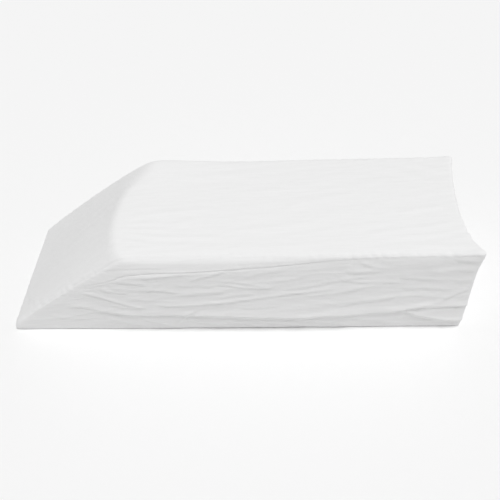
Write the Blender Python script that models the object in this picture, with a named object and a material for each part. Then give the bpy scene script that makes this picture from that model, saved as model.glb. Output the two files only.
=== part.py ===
"""Leg-raising wedge pillow in a loose white sewn cover, lying on its base.

One filled solid: a long foam block with a ramp at one end, in its cover. Metres, +Z up. The shape is
worked out with x from the thin end, y from the front side and z from the base, and is centred at the end,
so that the origin is the middle of the base.
"""

from collections import namedtuple

import bmesh
import bpy
import numpy as np

# Driving dimensions of the filled pillow
LENGTH = 0.662
WIDTH = 0.203
HEIGHT = 0.152
RAMP_LENGTH = 0.195
THIN_END = 0.012
THIN_SKEW = 0.004

# Rounds of the edges: the base seams are crisp, and the cloth rolls over the front edge of the top
BASE_ROUND = 0.0025
TOP_ROUND = 0.0055
Roll = namedtuple("Roll", "x radius")
FRONT_ROLL = (
    Roll(0.150, 0.0055),
    Roll(0.205, 0.0130),
    Roll(0.420, 0.0110),
    Roll(0.490, 0.0055),
    Roll(0.620, 0.0055),
    Roll(0.650, 0.0030),
)
ROLL_DEPTH = 0.040
MOST_OF_HALF = 0.49

# The knee where the ramp meets the top: it bulges over the ramp, and is softer at the back
KNEE_BULGE = 0.021
KNEE_SKEW = 0.70
KNEE_SOFT_FRONT = 0.012
KNEE_SOFT_BACK = 0.024
BACK_START = 0.120

# The crown of the top, and its back edge, which stands up just behind the knee
TOP_CROWN = 0.003
CROWN_START = 0.120
RAISED_BACK = 0.006
RAISED_X = 0.215
RAISED_RISE = 0.050
RAISED_REACH = 0.090

# The high end is pulled in between its corners, and its two upper corners stand out as small ears
END_PULL = 0.013
END_PULL_REACH = 0.090
END_PULL_AT_BASE = 0.6
END_SKEW = 0.70
EAR_REACH = 0.022
FRONT_EAR = (0.0040, -0.0020, 0.0020)
BACK_EAR = (0.0024, 0.0016, 0.0)

# The seam of the top cloth sags below the front edge beside the ramp, and props the cloth out
Seam = namedtuple("Seam", "x drop stand")
TOP_SEAM = (
    Seam(0.000, 0.004, 0.0000),
    Seam(0.150, 0.014, 0.0010),
    Seam(0.184, 0.031, 0.0040),
    Seam(0.284, 0.028, 0.0055),
    Seam(0.365, 0.022, 0.0050),
    Seam(0.444, 0.013, 0.0030),
    Seam(0.508, 0.007, 0.0010),
    Seam(0.660, 0.005, 0.0000),
)
SEAM_SHOULDER = 0.026
SEAM_UNDERCUT = 0.005
SEAM_CUT_SHARE = 0.85
BACK_SEAM_SHARE = 0.5

# Each long side hangs out furthest along a long fold near the base, and turns in again below it
Hang = namedtuple("Hang", "x fold_z out")
SIDE_HANG = (
    Hang(0.000, 0.020, 0.0000),
    Hang(0.120, 0.054, 0.0010),
    Hang(0.179, 0.036, 0.0020),
    Hang(0.271, 0.034, 0.0030),
    Hang(0.364, 0.028, 0.0040),
    Hang(0.450, 0.030, 0.0045),
    Hang(0.544, 0.034, 0.0045),
    Hang(0.596, 0.046, 0.0030),
    Hang(0.660, 0.048, 0.0000),
)
TURN_IN_POWER = 0.8
SIDE_BLEND = 0.020

# Main folds of the two long sides, as points (x, z). A negative depth is a trough, a positive one a ridge.
Fold = namedtuple("Fold", "start middle end depth half_width")
FRONT_FOLDS = (
    Fold((0.140, 0.082), (0.182, 0.062), (0.236, 0.050), -0.0030, 0.0075),
    Fold((0.224, 0.061), (0.340, 0.060), (0.500, 0.090), -0.0035, 0.0080),
    Fold((0.225, 0.078), (0.350, 0.073), (0.490, 0.101), 0.0030, 0.0090),
    Fold((0.300, 0.100), (0.372, 0.086), (0.440, 0.096), -0.0035, 0.0075),
    Fold((0.262, 0.100), (0.310, 0.116), (0.360, 0.121), -0.0030, 0.0070),
    Fold((0.405, 0.088), (0.470, 0.106), (0.560, 0.118), -0.0025, 0.0080),
    Fold((0.480, 0.050), (0.545, 0.064), (0.640, 0.090), -0.0030, 0.0080),
    Fold((0.560, 0.036), (0.610, 0.055), (0.660, 0.062), 0.0035, 0.0080),
    Fold((0.560, 0.112), (0.620, 0.100), (0.660, 0.104), -0.0025, 0.0090),
)
BACK_FOLDS = (
    Fold((0.130, 0.070), (0.210, 0.058), (0.330, 0.075), -0.0030, 0.0080),
    Fold((0.210, 0.104), (0.330, 0.090), (0.470, 0.108), -0.0035, 0.0085),
    Fold((0.380, 0.060), (0.480, 0.074), (0.610, 0.066), -0.0035, 0.0080),
    Fold((0.400, 0.082), (0.500, 0.094), (0.640, 0.086), 0.0030, 0.0090),
    Fold((0.520, 0.120), (0.590, 0.108), (0.655, 0.124), -0.0030, 0.0080),
)
FOLD_FADE = 0.25
FOLD_END_CLEAR = 0.045

# Counts of cells along and across, the thin cells that turn each edge, and the levels of the cells up a side
CELLS_ALONG = 44
CELLS_ACROSS = 13
EDGE_STEPS = (0.0, 0.003, 0.008, 0.016)
LEVELS = (
    0.000, 0.003, 0.008, 0.014, 0.021, 0.028, 0.035, 0.042, 0.049, 0.056, 0.064, 0.072, 0.080,
    0.088, 0.096, 0.104, 0.111, 0.117, 0.122, 0.127, 0.132, 0.137, 0.142, 0.146, 0.149, 0.152,
)

CLOTH_WHITE = (0.87, 0.87, 0.865, 1.0)
CLOTH_ROUGHNESS = 0.85
TINY = 1e-6


def clear_scene():
    for leftover in list(bpy.data.objects):
        bpy.data.objects.remove(leftover, do_unlink=True)


def ramp_up(value, start, end):
    """0 before start, 1 after end, and an even curve between."""
    t = np.clip((value - start) / (end - start), 0.0, 1.0)
    return t * t * (3.0 - 2.0 * t)


def read(table, x, column):
    """A column of a table at places x along the pillow."""
    return np.interp(x, [row.x for row in table], [getattr(row, column) for row in table])


def stations(cells, span):
    """Even stations along a span, with thin cells at both ends where the edges turn."""
    steps = np.array(EDGE_STEPS)
    middle = np.linspace(steps[-1], span - steps[-1], cells - 2 * (len(steps) - 1) + 1)
    return np.concatenate([steps[:-1], middle, span - steps[-2::-1]])


def block_grid():
    """A closed block of quads whose corners stand at the stations of the three directions."""
    bm = bmesh.new()
    bmesh.ops.create_cube(bm, size=1.0)
    directions = (stations(CELLS_ALONG, LENGTH), stations(CELLS_ACROSS, WIDTH), np.array(LEVELS))
    for axis, places in enumerate(directions):
        along = [e for e in bm.edges if abs(e.verts[0].co[axis] - e.verts[1].co[axis]) > TINY]
        bmesh.ops.subdivide_edges(bm, edges=along, cuts=len(places) - 2, use_grid_fill=True)
    for axis, places in enumerate(directions):
        for vert in bm.verts:
            vert.co[axis] = places[round((vert.co[axis] + 0.5) * (len(places) - 1))]
    return bm


def across_share(y, margin=0.0):
    """0 at the front side, 1 at the back side."""
    return np.clip((y - margin) / (WIDTH - 2.0 * margin), 0.0, 1.0)


def knee_place(y):
    """Where the ramp meets the top: the middle of the edge stands out over the ramp."""
    return RAMP_LENGTH - KNEE_BULGE * np.sin(np.pi * across_share(y) ** KNEE_SKEW)


def top_height(x, y):
    """Height of the top cloth: the ramp and the flat top, softly joined."""
    ramp = THIN_END + (HEIGHT - THIN_END) * x / knee_place(y)
    soft = KNEE_SOFT_FRONT + (KNEE_SOFT_BACK - KNEE_SOFT_FRONT) * ramp_up(y, BACK_START, WIDTH)
    overlap = np.maximum(soft - np.abs(ramp - HEIGHT), 0.0)
    return np.minimum(ramp, HEIGHT) - overlap**2 / (4.0 * soft)


def edge_round(x, y, level):
    """Radius of the edges near a point: small at the base, large where the cloth rolls over the front."""
    roll = read(FRONT_ROLL, x, "radius") - TOP_ROUND
    near_front = 1.0 - ramp_up(y, ROLL_DEPTH, 2.0 * ROLL_DEPTH)
    upper = ramp_up(level, 0.4 * HEIGHT, 0.8 * HEIGHT)
    return BASE_ROUND + (TOP_ROUND - BASE_ROUND + roll * near_front) * upper


def turn_edges(x, y, z, top, rounding):
    """Pulls the block's sharp edges and corners in to rounds."""
    radius = np.minimum(rounding, MOST_OF_HALF * top)
    inner = np.stack([
        np.clip(x, radius, LENGTH - radius),
        np.clip(y, radius, WIDTH - radius),
        np.clip(z, radius, top - radius),
    ])
    reach = np.stack([x, y, z]) - inner
    length = np.maximum(np.linalg.norm(reach, axis=0), TINY)
    return inner + reach * (radius / length)


def raised_back(x, y):
    """How far the back edge of the top stands above the rest, most just behind the knee."""
    rise = ramp_up(x, RAISED_X - RAISED_RISE, RAISED_X)
    fall = np.exp(-(((x - RAISED_X) / RAISED_REACH) ** 2))
    return RAISED_BACK * rise * fall * ramp_up(y, BACK_START, WIDTH)


def fold_height(along, up, folds):
    """Sum of the soft troughs and ridges of a table of folds, at points of one side."""
    total = np.zeros_like(along)
    for fold in folds:
        start, middle, end = (np.array(p) for p in (fold.start, fold.middle, fold.end))
        chord = end - start
        length = np.hypot(*chord)
        across = np.array([-chord[1], chord[0]]) / length
        t = ((along - start[0]) * chord[0] + (up - start[1]) * chord[1]) / length**2
        bow = (middle - (start + end) / 2.0) @ across
        off = (along - start[0]) * across[0] + (up - start[1]) * across[1] - bow * 4.0 * t * (1.0 - t)
        fade = ramp_up(t, 0.0, FOLD_FADE) * (1.0 - ramp_up(t, 1.0 - FOLD_FADE, 1.0))
        total += fold.depth * fade * np.exp(-((off / fold.half_width) ** 2))
    return total


def seam_stand(x, z, top):
    """How far the top cloth's sagging seam props out a side: it swells down to the seam, then cuts back."""
    below_edge = top - z
    drop = read(TOP_SEAM, x, "drop")
    above = ramp_up(below_edge, drop - SEAM_SHOULDER, drop)
    under = 1.0 - SEAM_CUT_SHARE * ramp_up(below_edge, drop, drop + SEAM_UNDERCUT)
    return read(TOP_SEAM, x, "stand") * above * under


def hang(x, z, top):
    """How far the loose cloth of a side hangs out: most along the long fold, nothing at the edges."""
    fold = read(SIDE_HANG, x, "fold_z")
    above = np.clip((top - z) / np.maximum(top - fold, TINY), 0.0, 1.0)
    below = np.clip(z / fold, 0.0, 1.0)
    return read(SIDE_HANG, x, "out") * np.minimum(above, below**TURN_IN_POWER)


def side_swell(x, z, top, folds):
    """How far a long side stands out of its plane. The folds die out before the seams round it."""
    share = np.clip(z / np.maximum(top, TINY), 0.0, 1.0)
    clear_of_seams = ramp_up(share, 0.02, 0.12) * (1.0 - ramp_up(share, 0.85, 1.0))
    clear_of_end = 1.0 - ramp_up(x, LENGTH - FOLD_END_CLEAR, LENGTH)
    return hang(x, z, top) + fold_height(x, z, folds) * clear_of_seams * clear_of_end


def end_pull(y, z):
    """How far the high end is pulled in between its corners, most above the middle of the front half."""
    height_share = END_PULL_AT_BASE + (1.0 - END_PULL_AT_BASE) * ramp_up(z, 0.0, HEIGHT)
    return END_PULL * np.sin(np.pi * across_share(y, TOP_ROUND) ** END_SKEW) * height_share


def corner_ears(x, y, z):
    """Outward pull of the cover's two loose upper corners at the high end."""
    pull = np.zeros((3, x.size))
    for corner_y, ear in ((0.0, FRONT_EAR), (WIDTH, BACK_EAR)):
        distance_squared = (LENGTH - x) ** 2 + (corner_y - y) ** 2 + (HEIGHT - z) ** 2
        pull += np.outer(ear, np.exp(-distance_squared / EAR_REACH**2))
    return pull


def shape_pillow(grid):
    """Moves the block's points, one column each, to the filled shape."""
    x, y, level = grid
    top = top_height(x, y)
    x, y, z = turn_edges(x, y, level * top / HEIGHT, top, edge_round(x, y, level))

    swell_front = side_swell(x, z, top, FRONT_FOLDS) + seam_stand(x, z, top)
    swell_back = side_swell(x, z, top, BACK_FOLDS) + BACK_SEAM_SHARE * seam_stand(x, z, top)
    near_front = 1.0 - ramp_up(y, 0.0, SIDE_BLEND)
    near_back = ramp_up(y, WIDTH - SIDE_BLEND, WIDTH)
    crown = TOP_CROWN * np.sin(np.pi * across_share(y)) * ramp_up(x, 0.0, CROWN_START)
    upper = ramp_up(z, 0.5 * top, top)
    near_end = ramp_up(x, LENGTH - END_PULL_REACH, LENGTH)
    skew = THIN_SKEW * (1.0 - across_share(y)) * (1.0 - ramp_up(x, 0.0, RAMP_LENGTH))

    moves = np.stack([
        skew - near_end * end_pull(y, z),
        near_back * swell_back - near_front * swell_front,
        upper * (crown + raised_back(x, y)),
    ])
    shaped = np.stack([x, y, z]) + moves + corner_ears(x, y, z)
    shaped[2, shaped[2] < TINY] = 0.0
    return shaped


def centre_on_base(points):
    """Moves the points so that the box round them stands on the origin."""
    low, high = points.min(axis=1), points.max(axis=1)
    middle = (low + high) / 2.0
    return points - np.array([[middle[0]], [middle[1]], [low[2]]])


def cloth_material():
    material = bpy.data.materials.new("white_cotton_cover")
    material.use_nodes = True
    shader = material.node_tree.nodes["Principled BSDF"]
    shader.inputs["Base Color"].default_value = CLOTH_WHITE
    shader.inputs["Roughness"].default_value = CLOTH_ROUGHNESS
    shader.inputs["Metallic"].default_value = 0.0
    return material


def build_pillow(collection):
    bm = block_grid()
    grid = np.array([vert.co[:] for vert in bm.verts]).T
    for vert, place in zip(bm.verts, centre_on_base(shape_pillow(grid)).T):
        vert.co = place
    bmesh.ops.recalc_face_normals(bm, faces=bm.faces)
    mesh = bpy.data.meshes.new("wedge_pillow")
    bm.to_mesh(mesh)
    bm.free()
    mesh.shade_smooth()
    mesh.materials.append(cloth_material())
    collection.objects.link(bpy.data.objects.new("wedge_pillow", mesh))


def main():
    clear_scene()
    collection = bpy.data.collections.new("wedge_pillow")
    bpy.context.scene.collection.children.link(collection)
    build_pillow(collection)


main()
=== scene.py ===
"""Looks of a leg-raising wedge pillow in a loose white sewn cover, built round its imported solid.

Metres, +Z up. The cushion's form is worked out with x from the thin end, y from the front side and z from
the base, all in millimetres, and is then set on the frame's origin, the middle of the base.
"""

import math
from collections import namedtuple

import bmesh
import bpy
import numpy as np
from bpy.props import BoolProperty, FloatProperty, FloatVectorProperty, PointerProperty
from mathutils import Matrix, Vector, noise


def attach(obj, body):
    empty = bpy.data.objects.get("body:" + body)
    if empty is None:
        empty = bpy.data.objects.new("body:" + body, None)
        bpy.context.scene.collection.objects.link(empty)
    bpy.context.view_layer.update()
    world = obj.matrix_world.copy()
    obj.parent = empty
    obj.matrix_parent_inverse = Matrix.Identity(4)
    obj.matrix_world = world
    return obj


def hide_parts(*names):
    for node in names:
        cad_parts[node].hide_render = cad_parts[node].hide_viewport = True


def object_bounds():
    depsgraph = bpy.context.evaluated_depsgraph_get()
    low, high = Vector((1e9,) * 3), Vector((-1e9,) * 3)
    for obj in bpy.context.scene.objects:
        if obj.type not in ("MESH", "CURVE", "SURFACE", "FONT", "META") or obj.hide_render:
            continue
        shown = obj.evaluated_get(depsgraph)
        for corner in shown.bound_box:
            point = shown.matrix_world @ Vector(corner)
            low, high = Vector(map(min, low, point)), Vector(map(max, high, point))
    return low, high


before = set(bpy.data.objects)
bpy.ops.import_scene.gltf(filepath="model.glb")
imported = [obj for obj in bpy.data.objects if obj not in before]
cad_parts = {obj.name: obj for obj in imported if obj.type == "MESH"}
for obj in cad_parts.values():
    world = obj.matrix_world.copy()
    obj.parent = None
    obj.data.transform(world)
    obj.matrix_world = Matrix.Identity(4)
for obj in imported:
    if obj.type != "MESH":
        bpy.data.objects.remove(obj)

bl_info = {
    "name": "Wedge pillow",
    "version": (1, 0, 0),
    "blender": (4, 5, 0),
    "location": "3D View > Sidebar > Pillow",
    "description": "Builds a leg-raising wedge pillow in a loose white cover, and a plain stage for it",
    "category": "Object",
}

NODE = "wedge_pillow"
CAD_LOW, CAD_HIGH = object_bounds()
MM = 0.001
TINY = 1e-6

# Driving dimensions of the filled pillow, in millimetres
LENGTH = 662.0
WIDTH = 203.0
HEIGHT = 152.0
RAMP_LENGTH = 195.0
THIN_END = 12.0
THIN_SKEW = 4.0

# Rounds of the edges: the base seams are crisp, and the cloth rolls over the front edge of the top
BASE_ROUND = 2.5
TOP_ROUND = 5.5
Roll = namedtuple("Roll", "x radius")
FRONT_ROLL = (
    Roll(150, 5.5),
    Roll(205, 9.0),
    Roll(420, 8.0),
    Roll(490, 5.0),
    Roll(620, 4.5),
    Roll(650, 3.0),
)
ROLL_DEPTH = 40.0
MOST_OF_HALF = 0.49

# The knee where the ramp meets the top: it bulges over the ramp, and is softer at the back
KNEE_BULGE = 21.0
KNEE_SKEW = 0.70
KNEE_SOFT_FRONT = 5.5
KNEE_SOFT_BACK = 24.0
BACK_START = 120.0

# The ramp is a little rounded, most near the thin end
RAMP_BULGE = 4.0
RAMP_SKEW = 0.85

# The crown of the top, and its back edge, which stands up just behind the knee
TOP_CROWN = 3.0
CROWN_START = 120.0
RAISED_BACK = 6.0
RAISED_X = 215.0
RAISED_RISE = 50.0
RAISED_REACH = 90.0

# The high end is pulled in between its corners, and its two upper corners stand out as small ears
END_PULL = 13.0
END_PULL_REACH = 90.0
END_PULL_AT_BASE = 0.6
END_SKEW = 0.70
EAR_REACH = 22.0
FRONT_EAR = (4.0, -2.0, 2.0)
BACK_EAR = (2.4, 1.6, 0.0)

# The seam of the top cloth sags below the front edge beside the ramp, and props the cloth out
Seam = namedtuple("Seam", "x drop out groove gather")
TOP_SEAM = (
    Seam(0, 4, 0.0, 0.2, 0.4),
    Seam(60, 6, 0.4, 0.2, 0.6),
    Seam(120, 9, 1.2, 0.2, 0.7),
    Seam(150, 17, 3.0, 0.4, 0.5),
    Seam(184, 26.5, 5.0, 1.0, 0.2),
    Seam(232, 24.0, 5.9, 1.2, 0.1),
    Seam(284, 22.2, 5.7, 1.2, 0.1),
    Seam(325, 19.8, 5.1, 1.3, 0.1),
    Seam(365, 17.4, 4.4, 1.3, 0.2),
    Seam(405, 14.5, 3.4, 1.1, 0.2),
    Seam(444, 10.7, 2.2, 0.8, 0.4),
    Seam(508, 6.2, 0.8, 0.4, 0.5),
    Seam(660, 5, 0.0, 0.3, 0.4),
)
BACK_DROP = 6.0
MOST_DROP = 0.4
SEAM_GROOVE_WIDTH = 1.3

# The slack of each long side hangs out furthest along a long fold near the base, and tucks in under it
Hang = namedtuple("Hang", "x fold_z out")
SIDE_HANG = (
    Hang(0, 20, 0.0),
    Hang(120, 57, 2.4),
    Hang(143, 50, 3.6),
    Hang(179, 42.5, 5.6),
    Hang(271, 41.5, 7.2),
    Hang(309, 39.5, 7.6),
    Hang(364, 36, 8.0),
    Hang(417, 34, 8.0),
    Hang(490, 37.5, 6.8),
    Hang(544, 40, 5.6),
    Hang(575, 43.5, 4.8),
    Hang(598, 33, 4.4),
    Hang(617, 26, 4.0),
    Hang(661, 17, 2.5),
)
FOLD_TUCK = 1.8
TUCK_DEPTH = 0.4
SIDE_BLEND = 20.0


def rise(value, start, end):
    """0 before start, 1 after end, and an even curve between."""
    t = np.clip((value - start) / (end - start), 0.0, 1.0)
    return t * t * (3.0 - 2.0 * t)


def smooth_values(run, values, at):
    """Values at places along a run, on a smooth curve through the known ones, and even beyond its ends."""
    slope = np.gradient(values, run)
    i = np.clip(np.searchsorted(run, at, side="right") - 1, 0, len(run) - 2)
    step = run[i + 1] - run[i]
    t = np.clip((at - run[i]) / step, 0.0, 1.0)
    return (
        (2 * t**3 - 3 * t**2 + 1) * values[i]
        + (t**3 - 2 * t**2 + t) * step * slope[i]
        + (3 * t**2 - 2 * t**3) * values[i + 1]
        + (t**3 - t**2) * step * slope[i + 1]
    )


def read(table, x, column):
    """A column of a table at places x along the pillow."""
    run = np.array([row.x for row in table], float)
    return smooth_values(run, np.array([getattr(row, column) for row in table], float), x)


def across_share(y, margin=0.0):
    """0 at the front side, 1 at the back side."""
    return np.clip((y - margin) / (WIDTH - 2.0 * margin), 0.0, 1.0)


def knee_place(y):
    """Where the ramp meets the top: the middle of the edge stands out over the ramp."""
    return RAMP_LENGTH - KNEE_BULGE * np.sin(np.pi * across_share(y) ** KNEE_SKEW)


def top_height(x, y):
    """Height of the top cloth: the ramp and the flat top, softly joined."""
    share = x / knee_place(y)
    ramp = THIN_END + (HEIGHT - THIN_END) * share + RAMP_BULGE * np.sin(np.pi * np.minimum(share, 1.0) ** RAMP_SKEW)
    soft = KNEE_SOFT_FRONT + (KNEE_SOFT_BACK - KNEE_SOFT_FRONT) * rise(y, BACK_START, WIDTH)
    overlap = np.maximum(soft - np.abs(ramp - HEIGHT), 0.0)
    return np.minimum(ramp, HEIGHT) - overlap**2 / (4.0 * soft)


def seam_drop(x, y, top):
    """How far below the edge of the top the seam of the top cloth lies."""
    front = read(TOP_SEAM, x, "drop")
    drop = front + (np.minimum(front, BACK_DROP) - front) * rise(y, 0.0, WIDTH)
    return np.minimum(drop, MOST_DROP * top)


def edge_round(x, y, level):
    """Radius of the edges near a point: small at the base, large where the cloth rolls over the front."""
    roll = read(FRONT_ROLL, x, "radius") - TOP_ROUND
    near_front = 1.0 - rise(y, ROLL_DEPTH, 2.0 * ROLL_DEPTH)
    upper = rise(level, 0.4, 0.8)
    return BASE_ROUND + (TOP_ROUND - BASE_ROUND + roll * near_front) * upper


def turn_edges(x, y, z, top, rounding):
    """Pulls the block's sharp edges and corners in to rounds."""
    radius = np.minimum(rounding, MOST_OF_HALF * top)
    inner = np.stack([
        np.clip(x, radius, LENGTH - radius),
        np.clip(y, radius, WIDTH - radius),
        np.clip(z, radius, top - radius),
    ])
    reach = np.stack([x, y, z]) - inner
    length = np.maximum(np.linalg.norm(reach, axis=0), TINY)
    return inner + reach * (radius / length)


def raised_back(x, y):
    """How far the back edge of the top stands above the rest, most just behind the knee."""
    behind_knee = rise(x, RAISED_X - RAISED_RISE, RAISED_X)
    fall = np.exp(-(((x - RAISED_X) / RAISED_REACH) ** 2))
    return RAISED_BACK * behind_knee * fall * rise(y, BACK_START, WIDTH)


def side_out(x, y, z, top):
    """How far a long side stands out: more down to the seam, on down to the long fold, and tucked in below."""
    drop = seam_drop(x, y, top)
    seam_out = read(TOP_SEAM, x, "out") * drop / np.minimum(read(TOP_SEAM, x, "drop"), MOST_DROP * top)
    fold, fold_out = read(SIDE_HANG, x, "fold_z"), read(SIDE_HANG, x, "out")
    fold = np.minimum(fold, MOST_DROP * top)
    band = np.clip((top - z) / drop, 0.0, 1.0)
    wall = np.clip((top - drop - z) / (top - drop - fold), 0.0, 1.0)
    tuck = TUCK_DEPTH * rise(fold - z, 0.0, FOLD_TUCK)
    strip = np.clip(z / fold, 0.0, 1.0)
    return (seam_out * band + (fold_out - seam_out) * wall) * (1.0 - tuck) * strip


def seen_height(x, y, z, top):
    """Height at which a point of a long side is seen in line with the base seam, from 46 degrees above.

    What the long fold hides counts as lying on the fold.
    """
    fold = np.minimum(read(SIDE_HANG, x, "fold_z"), MOST_DROP * top)
    on_fold = fold - side_out(x, y, fold, top)
    seen = z - side_out(x, y, z, top)
    return np.where(z < fold, np.minimum(seen, on_fold), seen)


def end_pull(y, z):
    """How far the high end is pulled in between its corners, most above the middle of the front half."""
    height_share = END_PULL_AT_BASE + (1.0 - END_PULL_AT_BASE) * rise(z, 0.0, HEIGHT)
    return END_PULL * np.sin(np.pi * across_share(y, TOP_ROUND) ** END_SKEW) * height_share


def corner_ears(x, y, z):
    """Outward pull of the cover's two loose upper corners at the high end."""
    pull = np.zeros((3, x.size))
    for corner_y, ear in ((0.0, FRONT_EAR), (WIDTH, BACK_EAR)):
        distance_squared = (LENGTH - x) ** 2 + (corner_y - y) ** 2 + (HEIGHT - z) ** 2
        pull += np.outer(ear, np.exp(-distance_squared / EAR_REACH**2))
    return pull


# The net of the cushion before its last subdivision: cells along, across and up to the seam and above it
CELLS_ALONG = 130
CELLS_ACROSS = 48
ROWS_TO_SEAM = 32
ROWS_ABOVE_SEAM = 14
ROWS = ROWS_TO_SEAM + ROWS_ABOVE_SEAM
EDGE_STEPS = (0.0, 2.0, 4.8, 8.6)
SEAM_STEP = 1.2
FULL_ROWS_FROM = 60.0
FULL_BAND_FROM = 8.0
BASE_TILE = 30.0
BASE_LEVEL = 0.5


def stations(cells, span):
    """Even stations along a span, with thin cells at both ends where the edges turn."""
    steps = np.array(EDGE_STEPS)
    middle = np.linspace(steps[-1], span - steps[-1], cells - 2 * (len(steps) - 1) + 1)
    return np.concatenate([steps[:-1], middle, span - steps[-2::-1]])


def row_height(row, top, drop):
    """Height of a row of the net: thin rows at the base, one row on the seam and a narrow one each side of it."""
    seam = top - drop
    share = np.minimum(1.0, seam / FULL_ROWS_FROM)
    steps = len(EDGE_STEPS) - 1
    base = np.interp(row, np.arange(steps + 1), EDGE_STEPS) * share
    first, last = EDGE_STEPS[-1] * share, seam - SEAM_STEP * share
    body = first + (last - first) * (row - steps) / (ROWS_TO_SEAM - 1 - steps)
    band_step = SEAM_STEP * np.minimum(1.0, drop / FULL_BAND_FROM)
    band = seam + band_step + (drop - band_step) * (row - ROWS_TO_SEAM - 1) / (ROWS_ABOVE_SEAM - 1)
    below = last + (seam - last) * (row - ROWS_TO_SEAM + 1)
    above = seam + band_step * (row - ROWS_TO_SEAM)
    return np.select(
        [row <= steps, row <= ROWS_TO_SEAM - 1, row <= ROWS_TO_SEAM, row <= ROWS_TO_SEAM + 1],
        [base, body, below, above],
        band,
    )


def place_in_block(net):
    """Millimetre places in the unbent block of points given by their counts of cells along, across and up."""
    x = np.interp(net[0], np.arange(CELLS_ALONG + 1), stations(CELLS_ALONG, LENGTH))
    y = np.interp(net[1], np.arange(CELLS_ACROSS + 1), stations(CELLS_ACROSS, WIDTH))
    top = top_height(x, y)
    z = row_height(net[2], top, seam_drop(x, y, top))
    return x, y, z, top


def block_net():
    """A closed block of quads, with each point's counts of cells along, across and up."""
    bm = bmesh.new()
    bmesh.ops.create_cube(bm, size=1.0)
    counts = (CELLS_ALONG, CELLS_ACROSS, ROWS)
    for axis, cells in enumerate(counts):
        along = [e for e in bm.edges if abs(e.verts[0].co[axis] - e.verts[1].co[axis]) > TINY]
        bmesh.ops.subdivide_edges(bm, edges=along, cuts=cells - 1, use_grid_fill=True)
    net = np.array([[round((v.co[a] + 0.5) * counts[a]) for a in range(3)] for v in bm.verts], float).T
    return bm, net


def fill_form(net):
    """Places of the net's points on the filled cushion, before any crease."""
    x, y, z, top = place_in_block(net)
    x, y, z = turn_edges(x, y, z, top, edge_round(x, y, z / top))
    out = side_out(x, y, z, top)
    near_front = 1.0 - rise(y, 0.0, SIDE_BLEND)
    near_back = rise(y, WIDTH - SIDE_BLEND, WIDTH)
    crown = TOP_CROWN * np.sin(np.pi * across_share(y)) * rise(x, 0.0, CROWN_START)
    upper = rise(z, 0.5 * top, top)
    near_end = rise(x, LENGTH - END_PULL_REACH, LENGTH)
    skew = THIN_SKEW * (1.0 - across_share(y)) * (1.0 - rise(x, 0.0, RAMP_LENGTH))
    moves = np.stack([
        skew - near_end * end_pull(y, z),
        (near_back - near_front) * out,
        upper * (crown + raised_back(x, y)),
    ])
    return np.stack([x, y, z]) + moves + corner_ears(x, y, z)


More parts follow.
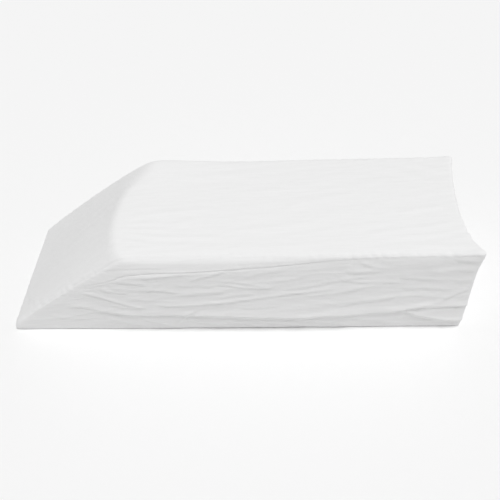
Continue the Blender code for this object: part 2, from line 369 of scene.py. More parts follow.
# Creases as points on a panel, in millimetres, from left to right. The cloth stands up by the height along
# the line, and falls away over the lower width below it and over the upper width above it. On the long sides
# their heights are those seen in line with the base seam from 46 degrees above, so cloth that stands out
# carries them higher by as much.
Crease = namedtuple("Crease", "points height lower upper")
FRONT_CREASES = (
    # The long fold near the base, and its fork at the high end
    Crease(((86, 54), (124, 53), (143, 46), (179, 37), (203, 36)), 1.1, 1.8, 9),
    Crease(((190, 37), (271, 34), (309, 31), (364, 27), (417, 26), (490, 31), (544, 35), (575, 39)), 0.8, 1.6, 10),
    Crease(((536, 35), (575, 41), (596, 46), (623, 48), (678, 47)), 2.1, 1.5, 7),
    Crease(((579, 41), (605, 53), (625, 58), (650, 56)), 0.8, 4.5, 4),
    Crease(((566, 40), (592, 31), (614, 22), (672, 14)), 1.3, 1.5, 5),
    Crease(((590, 10), (614, 15), (640, 16), (672, 12)), 0.8, 2, 3),
    # The faint arc in the band below the knee's corner
    Crease(((150, 126), (176, 132), (214, 134), (262, 134)), 0.4, 2.2, 4),
    # The fan below the knee
    Crease(((112, 88), (140, 80), (170, 66), (200, 53), (226, 49)), 1.0, 1.6, 4),
    Crease(((163, 104), (182, 94), (208, 92), (226, 96), (250, 108)), 0.7, 4, 2.2),
    Crease(((176, 107), (199, 104), (230, 98)), 0.9, 1.8, 5),
    Crease(((207, 88), (232, 89), (266, 83)), 1.3, 1.6, 6),
    Crease(((206, 113), (237, 115), (265, 119), (290, 122)), 1.1, 1.6, 5),
    Crease(((152, 93), (176, 85), (198, 84)), 0.8, 1.8, 4),
    Crease(((188, 72), (214, 68), (246, 69)), 0.8, 1.8, 5),
    Crease(((160, 58), (186, 52), (212, 52)), 0.7, 1.9, 4),
    # The middle
    Crease(((206, 62), (249, 55), (293, 58), (330, 62), (366, 68), (402, 75), (452, 83), (505, 91)), 1.3, 1.5, 5),
    Crease(((258, 76), (285, 79), (336, 84)), 1.2, 1.6, 6),
    Crease(((308, 98), (332, 98), (354, 93), (376, 91), (404, 91)), 1.0, 1.6, 3),
    Crease(((316, 106), (343, 104), (364, 100), (388, 94)), 0.9, 2.6, 1.8),
    Crease(((278, 106), (305, 115), (336, 127)), 1.1, 1.5, 4),
    Crease(((350, 110), (376, 119), (424, 127)), 0.9, 1.8, 5),
    Crease(((262, 95), (290, 97), (322, 94)), 0.7, 1.8, 5),
    Crease(((300, 70), (336, 74), (374, 81)), 0.7, 1.9, 5),
    Crease(((392, 104), (420, 108), (446, 117)), 0.7, 1.9, 5),
    Crease(((340, 50), (372, 49), (410, 55)), 0.7, 2.2, 6),
    # Towards the high end
    Crease(((396, 84), (440, 92), (489, 106), (540, 116)), 0.9, 2.2, 6),
    Crease(((430, 72), (478, 78), (526, 92), (552, 95)), 0.8, 1.9, 6),
    Crease(((482, 50), (517, 59), (537, 62), (572, 75)), 1.1, 1.8, 7),
    Crease(((478, 108), (513, 100), (529, 100), (568, 99)), 0.9, 1.8, 5),
    Crease(((486, 123), (525, 121), (540, 123)), 1.1, 3.4, 5),
    Crease(((558, 110), (592, 105), (616, 104)), 0.8, 1.8, 5),
    Crease(((560, 84), (596, 86), (640, 82)), 0.8, 1.8, 6),
    Crease(((618, 54), (642, 74), (661, 85)), 1.2, 2.1, 6),
    Crease(((560, 66), (590, 72), (612, 70)), 0.7, 1.9, 5),
    Crease(((626, 142), (649, 138), (661, 136)), 1.1, 1.8, 5),
    Crease(((632, 122), (650, 121), (661, 119)), 0.8, 1.8, 5),
    Crease(((630, 102), (648, 101), (661, 102)), 0.7, 1.8, 5),
    Crease(((600, 140), (612, 118), (618, 95)), 0.5, 9, 9),
    Crease(((506, 139), (524, 131), (548, 126)), 0.8, 1.9, 4),
    # The strip under the long fold
    Crease(((247, 12), (260, 26), (274, 39), (296, 52)), 1.5, 3, 1.8),
    Crease(((150, 30), (176, 20), (204, 12)), 1.2, 2.4, 6),
    Crease(((198, 30), (226, 20), (252, 8)), 1.3, 2.4, 6),
    Crease(((262, 27), (296, 18), (330, 10)), 1.4, 2.6, 6),
    Crease(((316, 25), (352, 15), (384, 6)), 1.6, 2.8, 6),
    Crease(((368, 23), (404, 15), (446, 6)), 1.5, 2.6, 6),
    Crease(((424, 24), (470, 18), (512, 7)), 1.4, 2.4, 6),
    Crease(((486, 28), (530, 20), (576, 10)), 1.3, 2.4, 6),
    Crease(((60, 34), (92, 28), (128, 26)), 0.6, 1.9, 5),
)
TOP_CREASES = (
    # Long faint streaks from the knee, and ridges along the front and across the high end
    Crease(((184, 79), (240, 84), (322, 92)), 0.7, 6, 5),
    Crease(((190, 31), (208, 31), (234, 27)), 0.8, 4, 3),
    Crease(((262, 11), (300, 14), (372, 17), (446, 20)), 0.8, 7, 6),
    Crease(((410, 96), (466, 108), (524, 120)), 0.7, 8, 6),
    Crease(((512, 37), (580, 47), (648, 55)), 1.0, 7, 5),
    Crease(((524, 28), (586, 34), (650, 39)), 0.7, 5, 4),
    Crease(((548, 185), (604, 152), (651, 120)), 0.9, 9, 7),
    Crease(((592, 190), (628, 172), (658, 156)), 0.7, 7, 6),
    Crease(((184, 47), (243, 39), (344, 35)), 0.9, 4, 3),
    Crease(((180, 56), (214, 53), (262, 50)), 0.7, 3.5, 3),
    Crease(((186, 66), (226, 65), (290, 60)), 0.6, 4, 3),
    Crease(((196, 20), (236, 21), (300, 25)), 0.7, 4, 3),
    Crease(((330, 46), (402, 52), (470, 62)), 0.6, 7, 6),
    Crease(((300, 130), (380, 128), (470, 136)), 0.5, 9, 8),
    Crease(((230, 158), (310, 164), (400, 160)), 0.5, 9, 8),
    Crease(((560, 74), (604, 84), (646, 88)), 0.8, 6, 5),
    Crease(((576, 18), (612, 16), (650, 12)), 0.7, 5, 4),
    # On the ramp: soft lines up from the thin end, and a curved one by its front corner
    Crease(((22, 36), (36, 24), (47, 8)), 1.0, 3.5, 3),
    Crease(((14, 52), (24, 34), (30, 14)), 0.7, 3.5, 3),
    Crease(((30, 176), (80, 168), (130, 172)), 0.5, 7, 6),
    Crease(((60, 74), (90, 62), (128, 58)), 0.5, 7, 6),
    Crease(((36, 110), (76, 118), (120, 112)), 0.4, 8, 7),
)
BACK_CREASES = (
    Crease(((96, 62), (150, 52), (240, 40), (340, 33), (470, 30), (560, 38), (650, 44)), 1.4, 1.8, 12),
    Crease(((130, 82), (180, 66), (250, 60), (330, 70)), 1.3, 1.8, 8),
    Crease(((210, 108), (290, 92), (370, 92), (470, 108)), 1.2, 1.8, 7),
    Crease(((200, 88), (240, 84), (300, 90)), 0.9, 1.8, 6),
    Crease(((300, 112), (350, 118), (410, 116)), 0.9, 1.8, 6),
    Crease(((360, 66), (450, 76), (540, 72), (610, 64)), 1.3, 1.8, 8),
    Crease(((430, 92), (500, 98), (580, 88)), 1, 1.9, 7),
    Crease(((520, 122), (580, 110), (655, 118)), 0.9, 1.8, 6),
    Crease(((570, 58), (620, 74), (660, 82)), 1, 1.9, 6),
    Crease(((400, 124), (460, 128), (520, 134)), 0.7, 1.8, 5),
    Crease(((180, 24), (230, 18), (280, 10)), 0.8, 1.9, 5),
    Crease(((330, 22), (390, 15), (440, 8)), 0.8, 1.9, 5),
    Crease(((480, 24), (540, 16), (600, 10)), 0.8, 1.9, 5),
)
END_CREASES = (
    Crease(((4, 120), (60, 108), (130, 112), (199, 128)), 1.2, 2.4, 9),
    Crease(((4, 86), (50, 78), (110, 84)), 1.1, 2.4, 8),
    Crease(((90, 60), (150, 56), (199, 70)), 1.1, 2.4, 8),
    Crease(((4, 44), (70, 36), (140, 34), (199, 42)), 1.4, 2.4, 10),
    Crease(((30, 20), (70, 15), (110, 12)), 0.8, 2.4, 5),
    Crease(((120, 24), (160, 20), (192, 24)), 0.8, 2.4, 5),
)
LINE_STEP = 2.0
LINE_TAPER = 0.22
REACH_IN_WIDTHS = 3.4
TUCK_PLACE = 1.5
TUCK_SHARE = 0.45


def smooth_line(points):
    """Points every few millimetres along a smooth curve through a crease's own points."""
    points = np.array(points, float)
    run = np.concatenate([[0.0], np.cumsum(np.hypot(*np.diff(points, axis=0).T))])
    at = np.linspace(0.0, run[-1], int(run[-1] / LINE_STEP) + 2)
    line = np.stack([smooth_values(run, values, at) for values in points.T], axis=1)
    direction = np.gradient(line, axis=0)
    direction /= np.linalg.norm(direction, axis=1)[:, None]
    return line, direction, at / run[-1]


def crease_height(along, up, creases):
    """How far a panel stands up because of its creases, at points of the panel."""
    total = np.zeros_like(along)
    points = np.stack([along, up], axis=1)
    for crease in creases:
        line, direction, share = smooth_line(crease.points)
        reach = REACH_IN_WIDTHS * max(crease.lower, crease.upper)
        near = np.all((points > line.min(0) - reach) & (points < line.max(0) + reach), axis=1)
        if not near.any():
            continue
        offset = points[near][:, None, :] - line[None, :, :]
        closest = np.argmin((offset**2).sum(2), axis=1)
        offset = offset[np.arange(len(closest)), closest]
        side = direction[closest, 0] * offset[:, 1] - direction[closest, 1] * offset[:, 0]
        distance = np.hypot(*offset.T)
        over = np.exp(-((distance / np.where(side > 0.0, crease.upper, crease.lower)) ** 2))
        under = np.exp(-((distance / crease.lower - TUCK_PLACE) ** 2)) * (side <= 0.0)
        taper = rise(share, 0.0, LINE_TAPER) * (1.0 - rise(share, 1.0 - LINE_TAPER, 1.0))
        total[near] += crease.height * taper[closest] * (over - TUCK_SHARE * under)
    return total


# The stitches gather the cloth along every seam: ripples across it, in millimetres
GATHER_SPACING = 7.5
GATHER_REACH = 9.0
GATHER_LEAN = 0.6
END_GATHER = 0.4

# Unevenness that no line above holds, as heights and lengths in millimetres
Waviness = namedtuple("Waviness", "height along up ridged")
SIDE_WAVES = (
    Waviness(1.2, 130, 36, False),
    Waviness(0.7, 110, 14, False),
    Waviness(0.5, 120, 9, True),
    Waviness(0.3, 60, 6, True),
)
TOP_WAVES = (Waviness(0.9, 120, 70, False), Waviness(0.35, 130, 12, False), Waviness(0.3, 110, 10, True))
FAN_TILT = 0.16
PANEL_EDGE = 8.0
BASE_CLEAR = 5.0
HELD_BY_SEAM = 12.0
RIDGE_POWER = 5


def waviness(along, up, waves, seed):
    """Uneven long folds of slack cloth, in millimetres, from smooth noise drawn out along the pillow."""
    total = np.zeros_like(along)
    for number, wave in enumerate(waves):
        a = along / wave.along
        b = (up - FAN_TILT * along) / wave.up
        value = np.array([noise.noise(Vector((p, q, seed + number))) for p, q in zip(a, b)])
        if wave.ridged:
            value = (1.0 - np.minimum(np.abs(value) * 2.0, 1.0)) ** RIDGE_POWER
        total += wave.height * value
    return total


def gathers(along, distance, seed):
    """Ripples of the cloth at places along a seam and at a distance from it, from -1 to 1."""
    ripple = np.zeros_like(along)
    near = distance < 3.0 * GATHER_REACH
    places = (along[near] + GATHER_LEAN * distance[near]) / GATHER_SPACING
    ripple[near] = [2.0 * noise.noise(Vector((place, 0.0, seed))) for place in places]
    return ripple * np.exp(-((distance / GATHER_REACH) ** 2))


def relief(x, y, z, top, settings):
    """How far the cover stands out of the smooth form, in millimetres, at points of the unbent block."""
    from_end, from_side = np.minimum(x, LENGTH - x), np.minimum(y, WIDTH - y)
    seen = seen_height(x, y, z, top)
    seam = top - seam_drop(x, y, top)
    free_side = rise(from_end, 0.0, HELD_BY_SEAM) * rise(seam - z, -HELD_BY_SEAM, HELD_BY_SEAM)
    free_end = rise(from_side, 0.0, HELD_BY_SEAM) * rise(top - z, 0.0, HELD_BY_SEAM)
    below_seam = np.abs(seam - z)
    gather = read(TOP_SEAM, x, "gather")
    panels = (
        # weight, freedom of the waves, along, up, creases, waves, seed
        (1.0 - rise(y, 0.0, PANEL_EDGE), free_side, x, seen, FRONT_CREASES, SIDE_WAVES, 3.0),
        (rise(y, WIDTH - PANEL_EDGE, WIDTH), free_side, x, seen, BACK_CREASES, SIDE_WAVES, 17.0),
        (rise(x, LENGTH - PANEL_EDGE, LENGTH), free_end, y, z, END_CREASES, SIDE_WAVES, 29.0),
        (rise(z, top - PANEL_EDGE, top), np.ones_like(x), x, y, TOP_CREASES, TOP_WAVES, 41.0),
    )
    groove = np.exp(-(((z - seam) / SEAM_GROOVE_WIDTH + 0.5) ** 2))
    total = -read(TOP_SEAM, x, "groove") * groove * (panels[0][0] + panels[1][0])
    for weight, free, along, up, creases, waves, seed in panels:
        on = weight > 0.0
        height = crease_height(along[on], up[on], creases)
        height += free[on] * waviness(along[on], up[on], waves, seed)
        total[on] += settings.crease_strength * weight[on] * height
    total += gather * gathers(x, below_seam, 51.0) * (panels[0][0] + panels[1][0])
    total += gather * gathers(x, from_side, 53.0) * panels[3][0]
    total += END_GATHER * gathers(y, from_end, 57.0) * panels[3][0]
    total += END_GATHER * gathers(y, top - z, 59.0) * panels[2][0]
    return total * rise(z, 0.0, BASE_CLEAR)


def base_middle(points):
    """The middle of the base, seen from above."""
    base = points[:2, points[2] < BASE_LEVEL]
    return (base.min(axis=1) + base.max(axis=1)) / 2.0


def on_frame(points, settings):
    """Points in millimetres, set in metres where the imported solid's base lies, and at the size in the settings."""
    solid = read_points(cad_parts[NODE].data)
    shift = np.append(base_middle(solid / MM) - base_middle(points), 0.0)
    size = np.array(settings.size) / (np.array(CAD_HIGH) - np.array(CAD_LOW))
    return (points + shift[:, None]) * MM * size[:, None]


def read_points(mesh):
    """A mesh's points as three rows of numbers."""
    values = np.empty(len(mesh.vertices) * 3)
    mesh.vertices.foreach_get("co", values)
    return values.reshape(-1, 3).T


def write_points(mesh, points):
    """Moves a mesh's points to three rows of numbers."""
    mesh.vertices.foreach_set("co", points.T.ravel())
    mesh.update()


def read_normals(mesh):
    """The outward directions at a mesh's points as three rows of numbers."""
    values = np.empty(len(mesh.vertices) * 3)
    mesh.vertex_normals.foreach_get("vector", values)
    return values.reshape(-1, 3).T


def read_net(mesh):
    """The net counts that each point carries; a subdivided point lies half way between two counts."""
    values = np.empty(len(mesh.vertices) * 3)
    mesh.attributes["net"].data.foreach_get("vector", values)
    return np.round(values.reshape(-1, 3).T * 2.0) / 2.0


def subdivided(mesh):
    """A copy of a mesh with each quad made four."""
    helper = bpy.data.objects.new("subdividing", mesh)
    bpy.context.scene.collection.objects.link(helper)
    split = helper.modifiers.new("Split", "SUBSURF")
    split.levels = 1
    split.render_levels = 1
    graph = bpy.context.evaluated_depsgraph_get()
    result = bpy.data.meshes.new_from_object(helper.evaluated_get(graph))
    bpy.data.objects.remove(helper)
    return result


def carry_move(mesh, move):
    """Keeps each point's move on the mesh, so that a subdivision carries it along."""
    carried = mesh.attributes.new("move", "FLOAT_VECTOR", "POINT")
    carried.data.foreach_set("vector", move.T.ravel())


def read_move(mesh):
    """The move that each point carries, or none."""
    values = np.zeros(len(mesh.vertices) * 3)
    if "move" in mesh.attributes:
        mesh.attributes["move"].data.foreach_get("vector", values)
        mesh.attributes.remove(mesh.attributes["move"])
    return values.reshape(-1, 3).T


def simplify_base(mesh, x, y, z):
    """Joins the flat base's small faces into larger tiles, away from its edges."""
    flat = (z == 0.0) & (np.minimum(x, LENGTH - x) >= EDGE_STEPS[-1]) & (np.minimum(y, WIDTH - y) >= EDGE_STEPS[-1])
    bm = bmesh.new()
    bm.from_mesh(mesh)
    tiles = {}
    for face in bm.faces:
        numbers = [v.index for v in face.verts]
        if flat[numbers].all():
            tile = tuple(int(place[numbers].mean() / BASE_TILE) for place in (x, y))
            tiles.setdefault(tile, []).append(face)
    for faces in tiles.values():
        bmesh.ops.dissolve_faces(bm, faces=faces)
    bmesh.ops.dissolve_verts(bm, verts=[v for v in bm.verts if len(v.link_edges) == 2])
    bm.to_mesh(mesh)
    bm.free()


def net_mesh():
    """The coarse net as a mesh whose points carry their counts."""
    bm, net = block_net()
    mesh = bpy.data.meshes.new("pillow_net")
    bm.to_mesh(mesh)
    bm.free()
    carried = mesh.attributes.new("net", "FLOAT_VECTOR", "POINT")
    carried.data.foreach_set("vector", net.T.ravel())
    return mesh


# Settling of the slack cover on its foam filling. The cover is cut larger than the filling by these shares
# along, across and up, and no point may move further than the cap, in millimetres
CUT_EXCESS = (1.012, 1.012, 1.035)
CORE_GAP = 1.5
SETTLE_CAP = 7.0
SETTLE_FRAMES = 14
EVENING_PASSES = 16


def evened(mesh, move):
    """The moves without their small bumps: each pass draws every point half way to its neighbours' mean."""
    ends = np.empty(len(mesh.edges) * 2, int)
    mesh.edges.foreach_get("vertices", ends)
    one, other = ends.reshape(-1, 2).T
    count = np.bincount(ends)
    for _ in range(EVENING_PASSES):
        total = [np.bincount(one, row[other]) + np.bincount(other, row[one]) for row in move]
        move = (move + np.stack(total) / count) / 2.0
    return move


def settled(mesh, form, stand):
    """How far each point of the cover moves, in millimetres, as the cloth sags under its own weight.

    The cloth starts with its creases standing out of the smooth form, and its slack gathers along them. What is
    kept of the move is the broad sag between them: the net is too coarse for the creases, which come after it.
    """
    scene = bpy.context.scene
    x, y, z, top = place_in_block(read_net(mesh))
    outward = read_normals(mesh)

    core = bpy.data.objects.new("foam_core", mesh.copy())
    write_points(core.data, (form - outward * CORE_GAP) * MM)
    scene.collection.objects.link(core)
    core.modifiers.new("Collision", "COLLISION")
    core.collision.thickness_outer = 0.0005

    cover = bpy.data.objects.new("slack_cover", mesh.copy())
    write_points(cover.data, (form + outward * stand) * MM)
    scene.collection.objects.link(cover)
    cover.shape_key_add(name="Basis")
    cut = cover.shape_key_add(name="Cut")
    middle = np.array([[LENGTH / 2.0], [WIDTH / 2.0], [0.0]])
    grown = middle + (form - middle) * np.array([CUT_EXCESS]).T
    cut.data.foreach_set("co", (grown * MM).T.ravel())
    on_side = (y == 0.0) | (y == WIDTH) | (x == 0.0) | (x == LENGTH)
    held = (z < TINY) | (on_side & (z > top - seam_drop(x, y, top) - TINY))
    pins = cover.vertex_groups.new(name="Held")
    pins.add([int(i) for i in np.flatnonzero(held)], 1.0, "REPLACE")
    cloth = cover.modifiers.new("Cloth", "CLOTH")
    cloth.settings.rest_shape_key = cut
    cloth.settings.vertex_group_mass = "Held"
    cloth.settings.quality = 6
    cloth.settings.mass = 0.15
    cloth.settings.bending_stiffness = 0.1
    cloth.collision_settings.distance_min = 0.0008
    for frame_number in range(1, SETTLE_FRAMES + 1):
        scene.frame_set(frame_number)
    graph = bpy.context.evaluated_depsgraph_get()
    result = bpy.data.meshes.new_from_object(cover.evaluated_get(graph))
    move = read_points(result) / MM - form - outward * stand
    for thing in (cover, core):
        bpy.data.objects.remove(thing)
    bpy.data.meshes.remove(result)
    scene.frame_set(1)
    length = np.maximum(np.linalg.norm(move, axis=0), TINY)
    from_edge = np.stack([x, LENGTH - x, y, WIDTH - y])
    top_free = rise(np.sort(from_edge, axis=0)[0], 0.0, HELD_BY_SEAM)
    side_free = rise(top - seam_drop(x, y, top) - z, 0.0, HELD_BY_SEAM)
    return evened(mesh, move * np.minimum(1.0, SETTLE_CAP / length)) * np.where(on_side, side_free, top_free)


# The cover's cloth
CLOTH_UV = "cloth_uv"
WAVE_PERIOD = math.pi / 10.0
MIX_FACTOR, MIX_A, MIX_B, MIX_RESULT = 0, 6, 7, 2


def panel_of_faces(mesh, x, y, z, top):
    """For each face the panel it belongs to: 0 front, 1 back, 2 ends, 3 base, and 4 the top cloth."""
    corners = np.empty(len(mesh.loops), int)
    mesh.loops.foreach_get("vertex_index", corners)
    corners = corners.reshape(-1, 4)
    row = np.stack([v[corners].mean(axis=1) for v in (x, y, z, top)])
    margins = np.stack([row[1], WIDTH - row[1], np.minimum(row[0], LENGTH - row[0]), row[2], row[3] - row[2]])
    return corners, np.argmin(margins, axis=0)


def lay_out_cloth(mesh, x, y, z, top):
    """A UV map in metres of the flat cloth, panel by panel, with the ramp at its sloping length."""
    corners, panel = panel_of_faces(mesh, x, y, z, top)
    slope = math.hypot(1.0, (HEIGHT - THIN_END) / RAMP_LENGTH)
    along_top = x + (slope - 1.0) * np.minimum(x, RAMP_LENGTH)
    flat = {0: (x, z), 1: (x, z), 2: (y, z), 3: (x, y), 4: (along_top, y)}
    places = np.empty((len(corners), 4, 2))
    for number, (u, v) in flat.items():
        on = panel == number
        places[on, :, 0] = u[corners[on]] + 2.0 * LENGTH * number
        places[on, :, 1] = v[corners[on]]
    uv = mesh.uv_layers.new(name=CLOTH_UV)
    uv.uv.foreach_set("vector", (places * MM).ravel())


def linear_rgb(code):
    """The linear red, green and blue of an sRGB hex colour."""
    parts = [int(code[i:i + 2], 16) / 255.0 for i in (1, 3, 5)]
    return tuple(p / 12.92 if p <= 0.04045 else ((p + 0.055) / 1.055) ** 2.4 for p in parts)


def add_node(tree, kind, inputs, **settings):
    """Adds a node with its settings. Each input is given a value, or is linked if it is given a socket."""
    node = tree.nodes.new(kind)
    for name, value in settings.items():
        setattr(node, name, value)
    for name, value in inputs.items():
        if isinstance(value, bpy.types.NodeSocket):
            tree.links.new(value, node.inputs[name])
        else:
            node.inputs[name].default_value = value
    return node


def cover_material(settings):
    """Cotton and polyester plain weave, piece-dyed white and washed: matt, and a little crumpled.

    The threads are about 0.3 mm apart, too fine to show, so they are drawn at the spacing in the settings.
    Slubs, thicker stretches of thread 20 to 60 mm long, give faint streaks along the pillow.
    """
    material = bpy.data.materials.new("white_cotton_blend_woven_and_washed")
    material.use_nodes = True
    tree = material.node_tree
    tree.nodes.clear()
    cloth = add_node(tree, "ShaderNodeUVMap", {}, uv_map=CLOTH_UV).outputs["UV"]
    rate = WAVE_PERIOD / settings.thread_spacing
    threads = [
        add_node(tree, "ShaderNodeTexWave", {"Vector": cloth, "Scale": rate, "Distortion": 0.6, "Detail": 1.0},
                 wave_type="BANDS", bands_direction=direction, wave_profile="SIN").outputs["Fac"]
        for direction in ("X", "Y")
    ]
    weave = add_node(tree, "ShaderNodeMath", {0: threads[0], 1: threads[1]}, operation="MULTIPLY").outputs[0]
    drawn_out = add_node(tree, "ShaderNodeMapping", {"Vector": cloth, "Scale": (28.0, 420.0, 1.0)}).outputs[0]
    slubs = add_node(tree, "ShaderNodeTexNoise", {"Vector": drawn_out, "Scale": 1.0, "Detail": 3.0}).outputs[0]
    crumple = add_node(tree, "ShaderNodeTexNoise",
                       {"Vector": cloth, "Scale": 70.0, "Detail": 3.0, "Distortion": 0.8}).outputs[0]
    tint = add_node(tree, "ShaderNodeMapRange",
                    {"Value": slubs, "From Min": 0.35, "From Max": 0.65}).outputs[0]
    color = add_node(tree, "ShaderNodeMix",
                     {MIX_FACTOR: tint, MIX_A: (*settings.shade_color, 1.0), MIX_B: (*settings.cover_color, 1.0)},
                     data_type="RGBA").outputs[MIX_RESULT]
    fanned = add_node(tree, "ShaderNodeMapping",
                      {"Vector": cloth, "Rotation": (0.0, 0.0, -0.11), "Scale": (8.0, 95.0, 1.0)}).outputs[0]
    field = add_node(tree, "ShaderNodeTexNoise",
                     {"Vector": fanned, "Scale": 1.0, "Detail": 2.0, "Distortion": 0.3}).outputs[0]
    apart = add_node(tree, "ShaderNodeMath", {0: field, 1: 0.5}, operation="SUBTRACT").outputs[0]
    off_line = add_node(tree, "ShaderNodeMath", {0: apart}, operation="ABSOLUTE").outputs[0]
    lines = add_node(tree, "ShaderNodeMapRange",
                     {"Value": off_line, "From Max": 0.12, "To Min": 1.0, "To Max": 0.0},
                     interpolation_type="SMOOTHSTEP").outputs[0]
    pressed = add_node(tree, "ShaderNodeBump", {"Height": lines, "Strength": 1.0, "Distance": 0.0001})
    folds = add_node(tree, "ShaderNodeBump",
                     {"Height": crumple, "Strength": 0.25, "Distance": 0.0012, "Normal": pressed.outputs[0]})
    streaks = add_node(tree, "ShaderNodeBump",
                       {"Height": slubs, "Strength": 0.1, "Distance": 0.0002, "Normal": folds.outputs[0]})
    grain = add_node(tree, "ShaderNodeBump",
                     {"Height": weave, "Strength": 0.35, "Distance": 0.0002, "Normal": streaks.outputs[0]})
    shader = add_node(tree, "ShaderNodeBsdfPrincipled", {
        "Base Color": color, "Normal": grain.outputs[0], "Roughness": 0.88, "Metallic": 0.0, "IOR": 1.5,
        "Specular IOR Level": 0.3, "Sheen Weight": 0.12, "Sheen Roughness": 0.5,
    })
    add_node(tree, "ShaderNodeOutputMaterial", {"Surface": shader.outputs["BSDF"]})
    return material


def floor_material(color):
    """Studio floor of matt painted board: an even pale surface with a soft roller stipple."""
    material = bpy.data.materials.new("matt_painted_studio_floor")
    material.use_nodes = True
    tree = material.node_tree
    tree.nodes.clear()
    place = add_node(tree, "ShaderNodeTexCoord", {}).outputs["Object"]
    stipple = add_node(tree, "ShaderNodeTexNoise", {"Vector": place, "Scale": 400.0, "Detail": 2.0}).outputs[0]
    bump = add_node(tree, "ShaderNodeBump", {"Height": stipple, "Strength": 0.05, "Distance": 0.0002})
    shader = add_node(tree, "ShaderNodeBsdfPrincipled", {
        "Base Color": (*color, 1.0), "Normal": bump.outputs[0], "Roughness": 0.9, "Specular IOR Level": 0.2,
    })
    add_node(tree, "ShaderNodeOutputMaterial", {"Surface": shader.outputs["BSDF"]})
    return material


class CushionSettings(bpy.types.PropertyGroup):
    """Sizes and colours of the cushion."""

    size: FloatVectorProperty(
        name="Size", description="Length, width and height of the cushion's box",
        default=[high - low for low, high in zip(CAD_LOW, CAD_HIGH)], subtype="XYZ_LENGTH", unit="LENGTH")
    settle: BoolProperty(
        name="Settle the cover", description="Let the slack cover sag by cloth simulation", default=True)
    crease_strength: FloatProperty(
        name="Creases", description="How deep the creases are, 1 as on the real cover", default=1.0,
        min=0.0, max=2.0, subtype="FACTOR")
    thread_spacing: FloatProperty(
        name="Thread spacing", description="Distance between threads as drawn", default=0.0011,
        min=0.0002, unit="LENGTH")
    cover_color: FloatVectorProperty(
        name="Cover", description="Colour of the white cloth", default=linear_rgb("#EFEFEF"),
        subtype="COLOR", min=0.0, max=1.0)
    shade_color: FloatVectorProperty(
        name="Slubs", description="Colour of the cloth's thicker threads", default=linear_rgb("#EDEDED"),
        subtype="COLOR", min=0.0, max=1.0)


class StageSettings(bpy.types.PropertyGroup):
    """Floor, lights and camera."""

    camera_place: FloatVectorProperty(
        name="Camera", description="Where the camera stands", default=(0.0768, -0.6186, 0.7063),
        subtype="XYZ_LENGTH", unit="LENGTH")
    azimuth: FloatProperty(
        name="Azimuth", description="Turn of the camera about the upright axis",
        default=math.radians(4.75), subtype="ANGLE", unit="ROTATION")
    elevation: FloatProperty(
        name="Elevation", description="How far down the camera looks",
        default=math.radians(46.17), subtype="ANGLE", unit="ROTATION")
    roll: FloatProperty(
        name="Roll", description="Turn of the camera about its own view",
        default=math.radians(-4.33), subtype="ANGLE", unit="ROTATION")
    lens: FloatProperty(
        name="Lens", description="Focal length in millimetres on a 36 mm sensor", default=42.3, min=10.0)
    key_power: FloatProperty(
        name="Key light", description="Strength of the soft light above", default=2.12, min=0.0)
    sky_strength: FloatProperty(
        name="Surrounding light", description="Strength of the even light from all round", default=0.365,
        min=0.0)
    floor_color: FloatVectorProperty(
        name="Floor", description="Colour of the floor", default=linear_rgb("#F4F4F4"),
        subtype="COLOR", min=0.0, max=1.0)


class PILLOW_OT_build_cushion(bpy.types.Operator):
    """Builds the filled cushion in its creased cover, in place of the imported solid"""

    bl_idname = "pillow.build_cushion"
    bl_label = "Build cushion"

    def execute(self, context):
        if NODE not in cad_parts:
            raise RuntimeError("The frame holds no packed solid for the cushion")
        settings = context.scene.pillow_cushion
        coarse = net_mesh()
        net = read_net(coarse)
        form = fill_form(net)
        write_points(coarse, form * MM)
        if settings.settle:
            stand = relief(*place_in_block(net), settings)
            carry_move(coarse, settled(coarse, form, stand))
        mesh = subdivided(coarse)
        bpy.data.meshes.remove(coarse)
        mesh.name = "cushion"
        net = read_net(mesh)
        x, y, z, top = place_in_block(net)
        write_points(mesh, on_frame(fill_form(net) + read_move(mesh), settings))
        points = read_points(mesh) + read_normals(mesh) * relief(x, y, z, top, settings) * MM
        points[2] = np.maximum(points[2], 0.0)
        write_points(mesh, points)
        lay_out_cloth(mesh, x, y, z, top)
        mesh.attributes.remove(mesh.attributes["net"])
        simplify_base(mesh, x, y, z)
        mesh.shade_smooth()
        mesh.materials.append(cover_material(settings))
        cushion = bpy.data.objects.new("cushion", mesh)
        context.scene.collection.objects.link(cushion)
        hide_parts(NODE)
        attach(cushion, "root")
        return {"FINISHED"}


def add_light(context, name, kind, place, aim, power):
    """A light that faces a point."""
    light = bpy.data.lights.new(name, kind)
    light.energy = power
    lamp = bpy.data.objects.new(name, light)
    place, aim = Vector(place), Vector(aim)
    lamp.matrix_world = Matrix.Translation(place) @ (place - aim).to_track_quat("Z", "Y").to_matrix().to_4x4()
    context.scene.collection.objects.link(lamp)
    return light


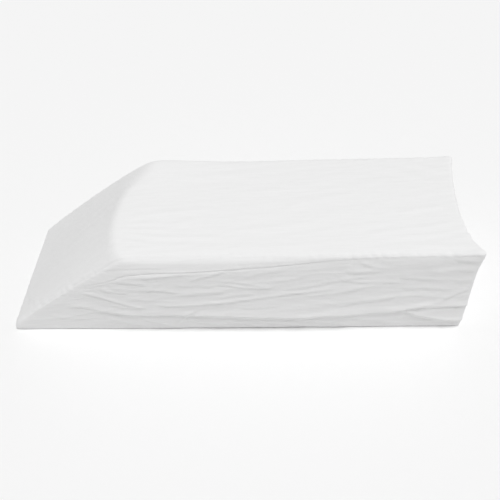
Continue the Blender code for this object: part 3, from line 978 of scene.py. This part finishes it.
class PILLOW_OT_build_stage(bpy.types.Operator):
    """Sets the floor, the lights and the camera"""

    bl_idname = "pillow.build_stage"
    bl_label = "Build stage"

    def execute(self, context):
        settings = context.scene.pillow_stage
        bm = bmesh.new()
        place = Matrix.Translation((0.0, 0.0, -FLOOR_GAP))
        bmesh.ops.create_grid(bm, x_segments=1, y_segments=1, size=FLOOR_HALF, matrix=place)
        mesh = bpy.data.meshes.new("floor")
        bm.to_mesh(mesh)
        bm.free()
        mesh.materials.append(floor_material(settings.floor_color))
        floor = bpy.data.objects.new("floor", mesh)
        context.scene.collection.objects.link(floor)

        key = add_light(context, "key_light", "SUN", KEY_DIRECTION, (0.0, 0.0, 0.0), settings.key_power)
        key.angle = math.radians(KEY_SPREAD)
        world = bpy.data.worlds.new("even_white_light")
        world.use_nodes = True
        sky = world.node_tree.nodes["Background"]
        sky.inputs["Color"].default_value = (1.0, 1.0, 1.0, 1.0)
        sky.inputs["Strength"].default_value = settings.sky_strength
        context.scene.world = world
        context.scene.view_settings.view_transform = "Standard"

        data = bpy.data.cameras.new("camera")
        data.lens = settings.lens
        data.sensor_width = SENSOR_WIDTH
        camera = bpy.data.objects.new("camera", data)
        turn = Matrix.Rotation(settings.azimuth, 4, "Z")
        tilt = Matrix.Rotation(math.pi / 2.0 - settings.elevation, 4, "X")
        roll = Matrix.Rotation(settings.roll, 4, "Z")
        camera.matrix_world = Matrix.Translation(settings.camera_place) @ turn @ tilt @ roll
        context.scene.collection.objects.link(camera)
        context.scene.camera = camera
        return {"FINISHED"}


class PILLOW_PT_panel(bpy.types.Panel):
    """The pillow's settings and the steps that build it"""

    bl_idname = "PILLOW_PT_panel"
    bl_label = "Wedge pillow"
    bl_space_type = "VIEW_3D"
    bl_region_type = "UI"
    bl_category = "Pillow"

    def draw(self, context):
        scene = context.scene
        for settings, operator in ((scene.pillow_cushion, STEPS[0]), (scene.pillow_stage, STEPS[1])):
            for name in settings.__annotations__:
                self.layout.prop(settings, name)
            self.layout.operator(operator.bl_idname)


# Stage: places, aims and sizes in metres
FLOOR_HALF = 4.0
FLOOR_GAP = 0.0005
SENSOR_WIDTH = 36.0
KEY_DIRECTION = (0.2, -0.2, 1.0)
KEY_SPREAD = 22.0

STEPS = (PILLOW_OT_build_cushion, PILLOW_OT_build_stage)
CLASSES = (CushionSettings, StageSettings, *STEPS, PILLOW_PT_panel)


def register():
    """Adds the classes to Blender, and the settings to its scenes."""
    for cls in CLASSES:
        bpy.utils.register_class(cls)
    bpy.types.Scene.pillow_cushion = PointerProperty(type=CushionSettings)
    bpy.types.Scene.pillow_stage = PointerProperty(type=StageSettings)


def unregister():
    """Takes the settings and the classes out again."""
    del bpy.types.Scene.pillow_stage
    del bpy.types.Scene.pillow_cushion
    for cls in reversed(CLASSES):
        bpy.utils.unregister_class(cls)


def main():
    """Builds the pillow and its stage."""
    register()
    bpy.ops.pillow.build_cushion()
    bpy.ops.pillow.build_stage()


if __name__ == "__main__":
    main()
